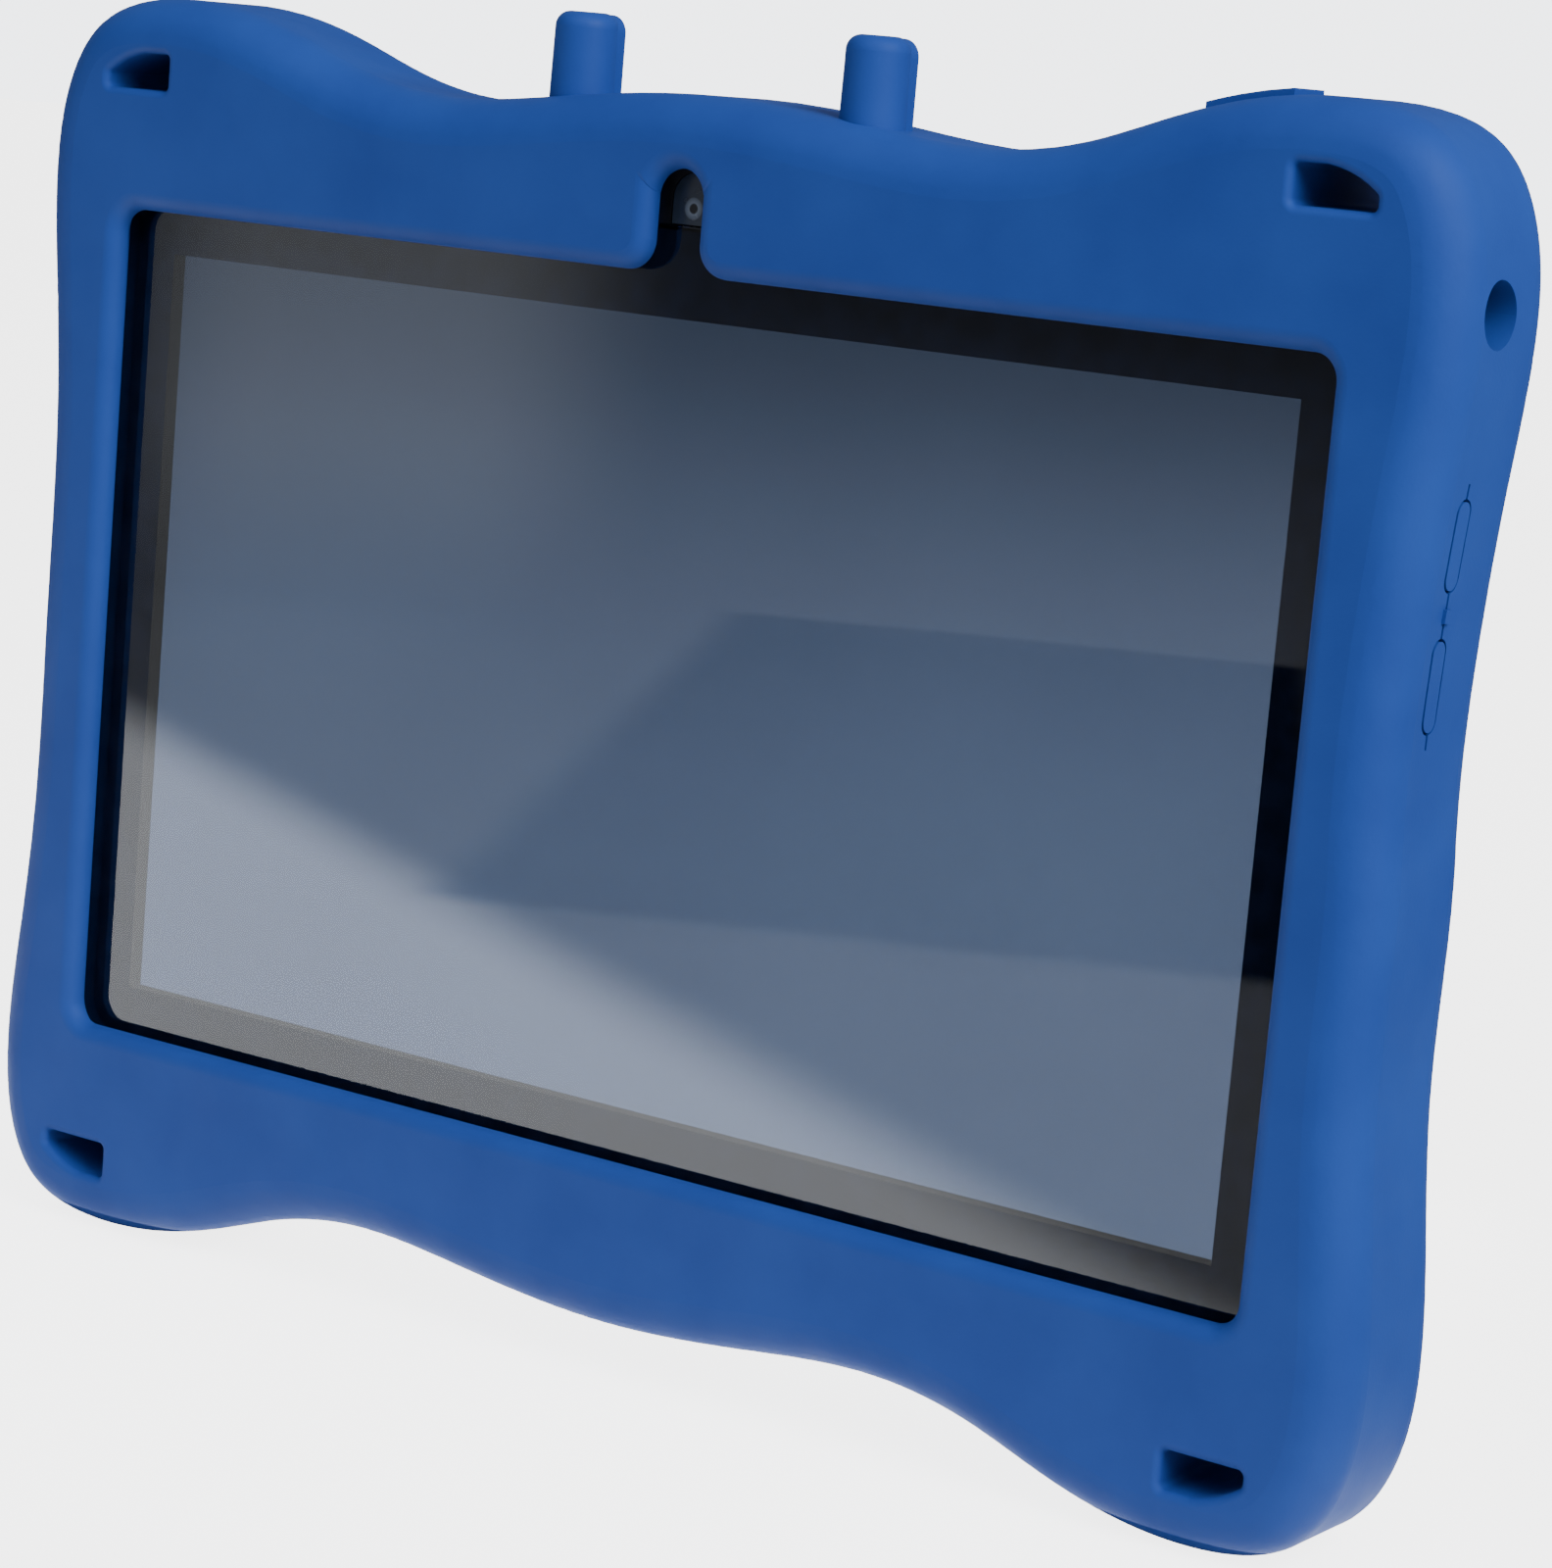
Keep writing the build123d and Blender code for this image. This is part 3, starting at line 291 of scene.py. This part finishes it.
# Amber polyimide film with etched copper conductors side by side
def flex_film():
    look = Finish("etched_polyimide_film", "#A8641C", **{"Roughness": 0.28, "IOR": 1.6})
    stripes = look.bands(0.8 * MM, "X")
    look.colours(stripes, (0.35, "#8E5216"), (0.65, "#C88436"))
    look.bump(stripes, 0.01 * MM)
    look.roughness(look.noise(3 * MM), 0.22, 0.36)
    return look.material


# Aluminium-laminate pouch of a flat lithium cell: satin silver, softly dimpled by the vacuum seal
def battery_foil():
    look = Finish("laminated_aluminium_foil", "#AEB1B5", **{"Metallic": 1.0})
    look.colours(look.noise(25 * MM, 3.0), (0.3, "#A4A7AB"), (0.7, "#B8BBBE"))
    look.roughness(look.noise(8 * MM, 3.0), 0.26, 0.42)
    look.bump(look.noise(6 * MM, 3.0), 0.12 * MM)
    return look.material


# Plastic, film or tape with a soft, slightly uneven gloss and a shallow surface relief
def moulded(name, dark, pale, low, high, pitch=3 * MM, relief=0.01 * MM, **values):
    look = Finish(name, dark, **values)
    look.colours(look.noise(pitch, 3.0), (0.3, dark), (0.7, pale))
    look.roughness(look.noise(2 * pitch, 2.0), low, high)
    look.bump(look.noise(pitch / 4), relief)
    return look.material


# Phosphor-coated light emitters in a row along a white strip
def light_strip():
    look = Finish("phosphor_light_strip", "#E9E4CE", **{"Roughness": 0.45})
    row = look.bands(7 * MM, "X")
    look.colours(row, (0.45, "#ECECE6"), (0.6, "#E3D36A"))
    look.bump(row, 0.05 * MM)
    return look.material


# Acrylic light guide with a field of fine printed dots that scatter the light
def dotted_acrylic():
    look = Finish("printed_acrylic", "#EDF1F2", **{"IOR": 1.49, "Roughness": 0.12})
    dots = look.cells(0.9 * MM)
    look.colours(dots, (0.2, "#FFFFFF"), (0.4, "#DCE4E8"))
    look.bump(dots, 0.02 * MM)
    return look.material


# Woven wire gauze, painted black, drawn coarse enough to show: grey crossing wires, with painted
# shade, near black, in the open cells between them
def woven_gauze():
    look = Finish("woven_speaker_gauze", "#1C1D1F", **{"Metallic": 0.4, "Roughness": 0.5})
    gauze_wires_and_hole_shade = add(
        look.tree,
        "ShaderNodeMath",
        {"operation": "MAXIMUM"},
        {0: look.bands(0.6 * MM, "X"), 1: look.bands(0.6 * MM, "Z")},
    ).outputs[0]
    # Near-black cells are painted shade in the openings; the lighter grey is the wires
    look.colours(gauze_wires_and_hole_shade, (0.4, "#060607"), (0.75, "#3A3B3E"))
    look.bump(gauze_wires_and_hole_shade, 0.1 * MM)
    return look.material


# Closed-cell foam tape: matt black with open pores along its cut edges, drawn as dimples with painted
# shade in them
def foam_tape():
    look = Finish("foam_adhesive_tape", "#121315", **{"Roughness": 0.85})
    foam_pores_with_shade = look.cells(0.5 * MM)
    # Darker pore centres are painted shade in the dimples
    look.colours(foam_pores_with_shade, (0.2, "#090A0B"), (0.6, "#18191C"))
    look.bump(foam_pores_with_shade, 0.04 * MM)
    return look.material


def dress(material, *names):
    """Gives CAD nodes a finish."""
    for name in names:
        slots = nodes[name].data.materials
        slots.clear()
        slots.append(material)


def piece_from(bm, name, material, body):
    """Makes a finished piece of the object from a bmesh."""
    bmesh.ops.recalc_face_normals(bm, faces=bm.faces)
    mesh = bpy.data.meshes.new(name)
    bm.to_mesh(mesh)
    bm.free()
    mesh.materials.append(material)
    piece = bpy.data.objects.new(name, mesh)
    bpy.context.scene.collection.objects.link(piece)
    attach(piece, body)
    return piece


def ink_border():
    """Ink printed round the display, a hair inside the back of the glass so that no air gap shines."""
    back = glass_high.y - INK_GAP - 2 * INK_T
    bm = bmesh.new()
    bmesh.ops.create_grid(bm, x_segments=1, y_segments=1, size=0.5)
    width = glass_high.x - glass_low.x - 2 * INK_MARGIN
    height = glass_high.z - glass_low.z - 2 * INK_MARGIN
    bmesh.ops.scale(bm, vec=(DISPLAY_W, DISPLAY_H, 1.0), verts=bm.verts)
    hole = bm.faces[:]
    edges = bm.edges[:]
    made = bmesh.ops.extrude_edge_only(bm, edges=edges)["geom"]
    outer = [v for v in made if isinstance(v, bmesh.types.BMVert)]
    bmesh.ops.scale(bm, vec=(width / DISPLAY_W, height / DISPLAY_H, 1.0), verts=outer)
    bmesh.ops.delete(bm, geom=hole, context="FACES_ONLY")
    bmesh.ops.solidify(bm, geom=bm.faces[:], thickness=INK_T)
    turn = Matrix.Rotation(math.radians(90), 4, "X")
    move = Matrix.Translation((glass_face.x, back + INK_T, glass_face.z))
    bmesh.ops.transform(bm, matrix=move @ turn, verts=bm.verts)
    return piece_from(bm, "ink_border", printed_ink(), "tablet")


# Outside of the tablet
silicone_blue = silicone()
shell_black = black_plastic("moulded_shell_plastic", "#0F1013", 0.42, 0.6)
satin_black = black_plastic("satin_frame_plastic", "#0C0E12", 0.25, 0.38)
camera_black = black_plastic("camera_barrel_plastic", "#2B323D", 0.3, 0.4)
dress(silicone_blue, "silicone_bumper", "power_pad", "volume_pad")
dress(cover_glass(), "touch_glass")
dress(polariser(), "lcd_panel")
dress(satin_black, "front_frame", "headphone_jack")
dress(shell_black, "rear_shell", "power_key", "volume_rocker", "speaker_frame")
dress(foam_tape(), "glass_adhesive")
dress(smoked_window("front_camera_window_print_and_lens_shade", "front_camera_window"), "front_camera_window")
dress(smoked_window("rear_camera_window_print_and_lens_shade", "rear_camera_window"), "rear_camera_window")
dress(coated_lens(), "front_camera_lens", "rear_camera_lens")
dress(camera_black, "front_camera", "rear_camera")

# Metals: bright nickel on the sockets, rolled steel, yellowish zinc on the screws, dull tin
nickel = metal("nickel_plate", "#B9BCC0", 0.18, 0.32)
steel = metal("stamped_steel", "#A7A9AB", 0.3, 0.45, True)
dress(nickel, "micro_usb_port", "card_slot", "microphone")
dress(steel, "lcd_tray", "power_switch", "volume_switches")
dress(metal("zinc_plated_steel", "#B4B2A8", 0.28, 0.42), "board_screws")
dress(metal("tinned_shield", "#C2C3C1", 0.24, 0.38), "wifi_module")

# Display stack: a milky film with a silky gloss, the dotted guide and its strip of lights
dress(moulded("milky_diffuser_film", "#E6E8EA", "#F3F4F5", 0.3, 0.4, 5 * MM), "diffuser_sheets")
dress(dotted_acrylic(), "light_guide")
dress(light_strip(), "led_bar")

# Circuit boards and what stands on them: warm ivory nylon reads as soft and slightly waxy
dress(flex_film(), "lcd_flex", "touch_flex")
dress(moulded("ivory_nylon", "#D8D0BC", "#E3DCCA", 0.4, 0.52, 1 * MM), "flex_connectors")
dress(solder_mask("green_solder_mask", "#0F3D24", "#2A6B40"), "main_board", "battery_board")
chips = chip_epoxy()
dress(chips, "processor", "memory_chips", "flash_chip", "power_chip", "board_small_parts")

# Battery: foil pouch on fibrous, chalky tape
dress(battery_foil(), "battery_cell")
tissue = moulded("tissue_adhesive_tape", "#D9D6C9", "#E6E4DA", 0.6, 0.75, 2 * MM)
dress(tissue, "battery_tape")

# Extruded wire insulation: even colour with a low waxy shine
red_wire = moulded("red_wire_insulation", "#8E1512", "#A31C17", 0.32, 0.42, 4 * MM)
black_wire = moulded("black_wire_insulation", "#101113", "#1B1C1F", 0.34, 0.46, 4 * MM)
grey_wire = moulded("grey_wire_jacket", "#4A4C50", "#585A5F", 0.3, 0.42, 4 * MM)
dress(red_wire, "battery_leads")
dress(black_wire, "speaker_leads")
dress(grey_wire, "aerial_lead")

# Speaker cone of formed film, glossy and dark; aerial film with a coppery glint; wire gauze
cone_film = moulded("formed_polyester_film", "#1A1B1E", "#26282C", 0.2, 0.32, 2 * MM)
aerial_film = moulded("printed_aerial_film", "#8C6230", "#A67840", 0.3, 0.42, 3 * MM, Metallic=0.6)
dress(cone_film, "speaker_cone")
dress(aerial_film, "wifi_aerial")
dress(woven_gauze(), "speaker_mesh")
ink_border()


def stage_piece(name, bm, material):
    """Makes a piece of the room, which isn't part of the object, from a bmesh."""
    mesh = bpy.data.meshes.new(name)
    bm.to_mesh(mesh)
    bm.free()
    mesh.materials.append(material)
    item = bpy.data.objects.new(name, mesh)
    bpy.context.scene.collection.objects.link(item)
    return item


def paper_floor():
    """Plain pale floor that reaches out of sight, brighter to the eye than to the object."""
    look = Finish("pale_paper", "#B9BBBF", **{"Roughness": 0.9})
    look.colours(look.noise(40 * MM, 3.0), (0.3, "#B8BABE"), (0.7, "#BABCC0"))
    seen = add(look.tree, "ShaderNodeLightPath").outputs["Is Camera Ray"]
    multiply = {"operation": "MULTIPLY"}
    lift = add(look.tree, "ShaderNodeMath", multiply, {0: seen, 1: FLOOR_LIFT}).outputs[0]
    look.shader.inputs["Emission Color"].default_value = linear("#FFFFFF")
    look.tree.links.new(lift, look.shader.inputs["Emission Strength"])
    bm = bmesh.new()
    bmesh.ops.create_circle(bm, cap_ends=True, segments=96, radius=FLOOR_RADIUS)
    bmesh.ops.translate(bm, vec=(0, 0, floor_z), verts=bm.verts)
    return stage_piece("floor", bm, look.material)


def reflected_card(name, centre, size, turn, shade, strength, soft, flat=True):
    """Light or dark card with soft edges that only reflections show."""
    material = bpy.data.materials.new(name)
    material.use_nodes = True
    tree = material.node_tree
    tree.nodes.clear()
    place = add(tree, "ShaderNodeTexCoord").outputs["Object"]
    axes = add(tree, "ShaderNodeSeparateXYZ", inputs={"Vector": place}).outputs
    cover = None
    for axis, length in zip(("X", "Y"), size):
        reach = add(tree, "ShaderNodeMath", {"operation": "ABSOLUTE"}, {0: axes[axis]}).outputs[0]
        fade = add(
            tree,
            "ShaderNodeMapRange",
            {"interpolation_type": "SMOOTHSTEP"},
            {
                "Value": reach,
                "From Min": length / 2 - soft,
                "From Max": length / 2,
                "To Min": 1.0,
                "To Max": 0.0,
            },
        ).outputs["Result"]
        if cover is not None:
            multiply = {"operation": "MULTIPLY"}
            fade = add(tree, "ShaderNodeMath", multiply, {0: cover, 1: fade}).outputs[0]
        cover = fade
    glow = add(tree, "ShaderNodeEmission", inputs={"Color": linear(shade), "Strength": strength})
    clear = add(tree, "ShaderNodeBsdfTransparent")
    mix = {0: cover, 1: clear.outputs[0], 2: glow.outputs[0]}
    mixed = add(tree, "ShaderNodeMixShader", inputs=mix)
    output = add(tree, "ShaderNodeOutputMaterial")
    tree.links.new(mixed.outputs[0], output.inputs["Surface"])
    bm = bmesh.new()
    bmesh.ops.create_grid(bm, x_segments=1, y_segments=1, size=0.5)
    bmesh.ops.scale(bm, vec=(size[0], size[1], 1.0), verts=bm.verts)
    card = stage_piece(name, bm, material)
    tilt = Matrix.Identity(4) if flat else Matrix.Rotation(math.radians(90), 4, "X")
    turned = Matrix.Rotation(math.radians(turn), 4, "Z")
    card.matrix_world = Matrix.Translation(centre) @ turned @ tilt
    card.visible_camera = False
    card.visible_diffuse = False
    card.visible_transmission = False
    card.visible_shadow = False
    return card


def reflections():
    """Soft shapes for the glass to mirror: a pale sheet low on the left, a dim one on the right."""
    ahead = glass_face.y
    on_floor = floor_z + CARD_LIFT
    pale_place = (-0.358, ahead - 0.168, on_floor)
    tall_place = (-0.47, ahead - 0.50, floor_z + 0.07)
    dim_place = (-0.215, ahead - 0.41, on_floor + CARD_LIFT / 2)
    reflected_card("pale_sheet", pale_place, (1.03, 0.24), 28.9, "#F2F5FA", 4.2, 0.03)
    reflected_card("tall_panel", tall_place, (0.17, 0.16), -30, "#E9EEF6", 1.4, 0.06, False)
    reflected_card("dim_sheet", dim_place, (0.17, 0.44), -29, "#10141F", 0.05, 0.015)


def light(name, place, aim, size, power, colour):
    """Soft rectangular lamp that faces a point."""
    lamp = bpy.data.lights.new(name, "AREA")
    lamp.shape = "RECTANGLE"
    lamp.size, lamp.size_y = size
    lamp.energy = power
    lamp.color = linear(colour)[:3]
    item = bpy.data.objects.new(name, lamp)
    bpy.context.scene.collection.objects.link(item)
    direction = Vector(aim) - Vector(place)
    facing = direction.to_track_quat("-Z", "Y").to_matrix().to_4x4()
    item.matrix_world = Matrix.Translation(place) @ facing


def studio():
    """Pale room, a warm key from the right for the side wall and a cool fill over the front."""
    world = bpy.data.worlds.new("studio")
    world.use_nodes = True
    tree = world.node_tree
    background = tree.nodes["Background"]
    background.inputs["Color"].default_value = linear("#EEF1F6")
    seen = add(tree, "ShaderNodeLightPath").outputs["Is Camera Ray"]
    strength = add(
        tree,
        "ShaderNodeMapRange",
        inputs={"Value": seen, "To Min": WORLD_LIGHT, "To Max": WORLD_SEEN},
    ).outputs["Result"]
    tree.links.new(strength, background.inputs["Strength"])
    bpy.context.scene.world = world
    light("key", (0.95, -0.30, 0.80), (0, 0, 0.07), (0.7, 0.7), 21.0, "#FFFDF8")
    light("fill", (0.10, -0.75, 1.0), (0, 0, 0.12), (0.8, 0.8), 5.0, "#F6F8FF")


def place_camera():
    """Long lens, above and to the right of the tablet, with a slight roll."""
    data = bpy.data.cameras.new("camera")
    data.lens = CAMERA_LENS
    data.sensor_width = CAMERA_SENSOR
    camera = bpy.data.objects.new("camera", data)
    bpy.context.scene.collection.objects.link(camera)
    camera.matrix_world = (
        Matrix.Translation(glass_face + CAMERA_FROM_GLASS)
        @ Matrix.Rotation(CAMERA_TURN, 4, "Z")
        @ Matrix.Rotation(math.pi / 2 - CAMERA_FALL, 4, "X")
        @ Matrix.Rotation(CAMERA_ROLL, 4, "Z")
    )
    bpy.context.scene.camera = camera


paper_floor()
reflections()
studio()
place_camera()
